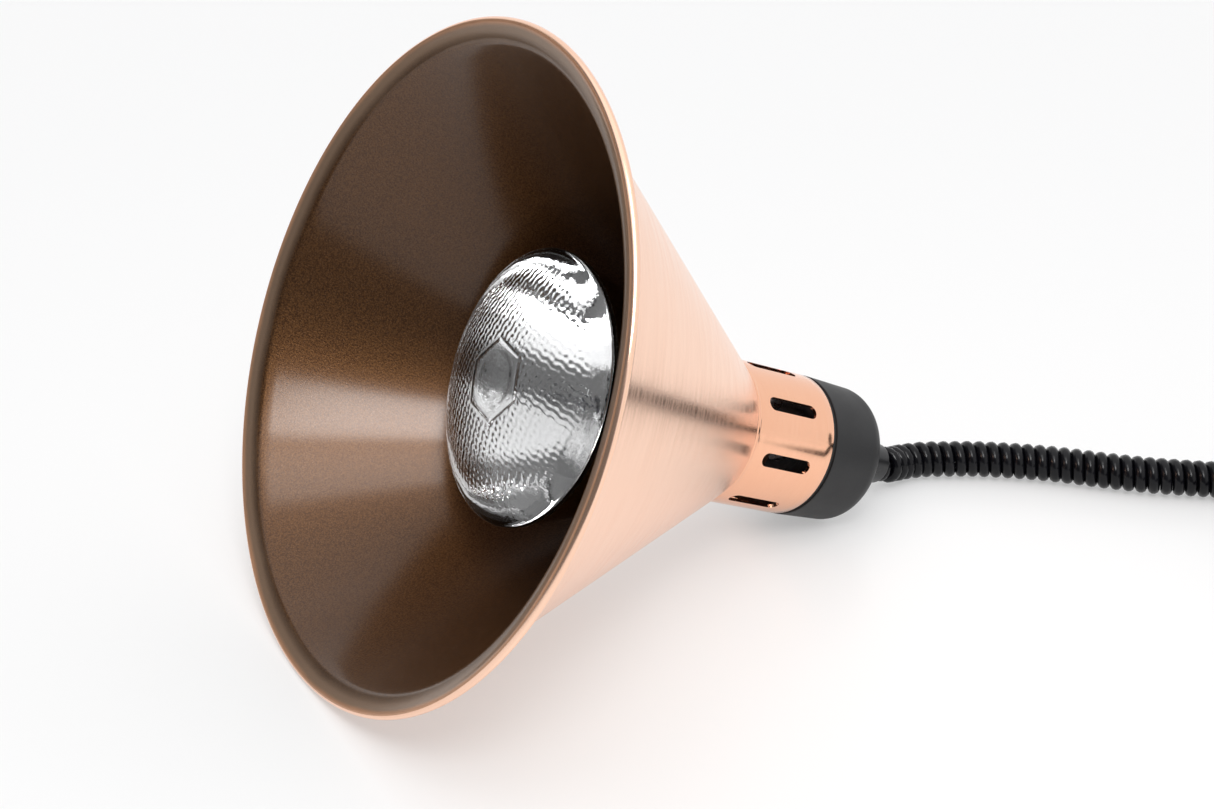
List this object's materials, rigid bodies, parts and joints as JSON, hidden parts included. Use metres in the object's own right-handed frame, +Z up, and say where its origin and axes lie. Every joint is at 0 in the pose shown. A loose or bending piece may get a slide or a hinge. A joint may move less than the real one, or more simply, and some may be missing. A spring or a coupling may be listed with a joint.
{
  "type": "heat lamp warmer",
  "caption": "Hanging food-warming heat lamp with a conical shade, reflector bulb, vented neck, capped cord grip, curly cord and ceiling canopy, lying on its side.",
  "frame": {"origin": "on the floor, under the middle of the lamp's own box without its cord, coil and canopy", "axes": "+Z up from the floor the lamp lies on, +X level from the shade's mouth towards the cap and the cord, +Y to the left looking along +X"},
  "size_m": [0.658, 0.4112, 0.2635],
  "materials": {
    "copper": "brushed copper finish",
    "black_cap": "matte",
    "black_trim": "semi-gloss",
    "rubber_black": "matte",
    "zinc_steel": "zinc plated",
    "brass": "satin",
    "ceramic": "glazed",
    "lens_glass": "pressed, stippled",
    "reflector": "aluminised inside",
    "bulb_metal": "satin",
    "glass_black": "opaque",
    "tungsten": "bare wire",
    "stem_glass": "clear",
    "cord_black": "glossy sheath",
    "tie_fabric": "woven",
    "wire_brown": "insulated",
    "wire_blue": "insulated",
    "wire_green": "insulated",
    "block_white": "moulded"
  },
  "bodies": {
    "housing": {"shade": "copper", "shade_ring": "zinc_steel", "neck_tube": "copper", "yoke": "zinc_steel", "neck_screws": "zinc_steel", "cap_ring": "rubber_black", "cap": "black_cap", "grip_seal": "rubber_black", "grip_body": "black_trim", "grip_nut": "zinc_steel", "nipple": "zinc_steel", "nipple_nuts": "zinc_steel", "holder_body": "ceramic", "holder_shell": "brass", "holder_contact": "brass", "holder_pillars": "zinc_steel", "pillar_screws": "zinc_steel", "terminals": "brass", "terminal_screws": "zinc_steel", "earth_tag": "brass", "earth_screw": "zinc_steel", "wire_live": "wire_brown", "wire_neutral": "wire_blue", "wire_earth": "wire_green", "cord_inlet": "cord_black", "cord_curly": "cord_black", "cord_coil": "cord_black", "cord_tie": "tie_fabric", "cord_tail": "cord_black", "canopy_cup": "black_trim", "canopy_bar": "zinc_steel", "canopy_screws": "zinc_steel", "canopy_grip": "black_trim", "canopy_grip_nut": "zinc_steel", "canopy_block": "block_white", "canopy_block_screws": "brass", "canopy_lead": "cord_black"},
    "button": {"bulb_button": "bulb_metal"},
    "bulb": {"bulb_lens": "lens_glass", "bulb_reflector": "reflector", "bulb_stem": "stem_glass", "bulb_filament": "tungsten", "bulb_ferrule": "bulb_metal", "bulb_shell": "bulb_metal", "bulb_insulator": "glass_black"}
  },
  "joints": [
    {"name": "bulb_travel", "type": "slide", "parent": "housing", "child": "button", "axis": [-0.9067, 0, 0.4218], "range_m": [0, 0.0146]},
    {"name": "bulb_screw", "type": "hinge", "parent": "button", "child": "bulb", "pos_m": [0.0567, 0, 0.0608], "axis": [-0.9067, 0, 0.4218], "range_deg": [0, 1440]}
  ],
  "couplings": [
    {"joint": "bulb_travel", "follows": "bulb_screw", "m_per_rad": 0.00057757}
  ]
}
